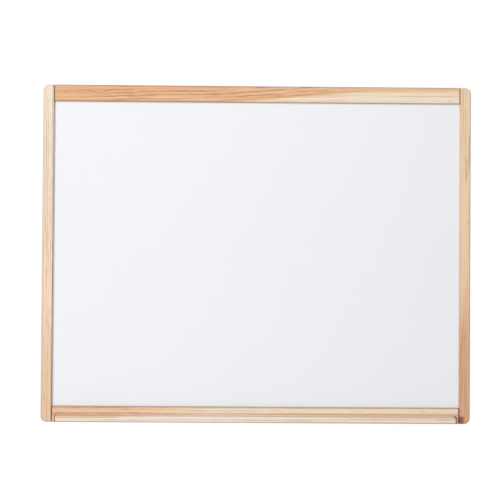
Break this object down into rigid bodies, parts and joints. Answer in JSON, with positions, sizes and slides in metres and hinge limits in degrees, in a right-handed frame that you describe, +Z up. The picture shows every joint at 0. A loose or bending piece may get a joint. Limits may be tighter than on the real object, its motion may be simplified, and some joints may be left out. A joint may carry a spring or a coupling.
{
  "type": "whiteboard",
  "caption": "Small wall whiteboard: a white-coated steel sheet on a fibreboard core in a butt-jointed softwood frame, with a marker ledge and a sawtooth hanger.",
  "frame": {"origin": "on the wall plane, at the middle of the rear face of the hanger's bar, which is midway between the board's sides", "axes": "+X to the right as seen from the front, +Y into the wall, +Z up; the writing face looks along -Y"},
  "size_m": [0.632, 0.0373, 0.4966],
  "materials": {
    "pale_softwood": "clear satin varnish",
    "warm_softwood": "clear satin varnish",
    "ledge_softwood": "clear satin varnish",
    "birch_dowel": "raw",
    "white_coat": "smooth gloss",
    "fibreboard": "raw",
    "grey_backing": "matt",
    "zinc_steel": "zinc plated",
    "brass_steel": "brass plated",
    "grey_rubber": "matt"
  },
  "bodies": {
    "root": {"left_stile": "pale_softwood", "right_stile": "warm_softwood", "top_rail": "warm_softwood", "bottom_rail": "warm_softwood", "marker_ledge": "ledge_softwood", "writing_sheet": "white_coat", "panel_core": "fibreboard", "backing_sheet": "grey_backing", "hanger": "zinc_steel", "left_hanger_nail": "brass_steel", "right_hanger_nail": "brass_steel", "left_bumper": "grey_rubber", "right_bumper": "grey_rubber", "top_left_outer_dowel": "birch_dowel", "top_left_inner_dowel": "birch_dowel", "bottom_left_outer_dowel": "birch_dowel", "bottom_left_inner_dowel": "birch_dowel", "top_right_outer_dowel": "birch_dowel", "top_right_inner_dowel": "birch_dowel", "bottom_right_outer_dowel": "birch_dowel", "bottom_right_inner_dowel": "birch_dowel", "ledge_screw_1": "zinc_steel", "ledge_screw_2": "zinc_steel", "ledge_screw_3": "zinc_steel", "ledge_screw_4": "zinc_steel"}
  },
  "joints": []
}
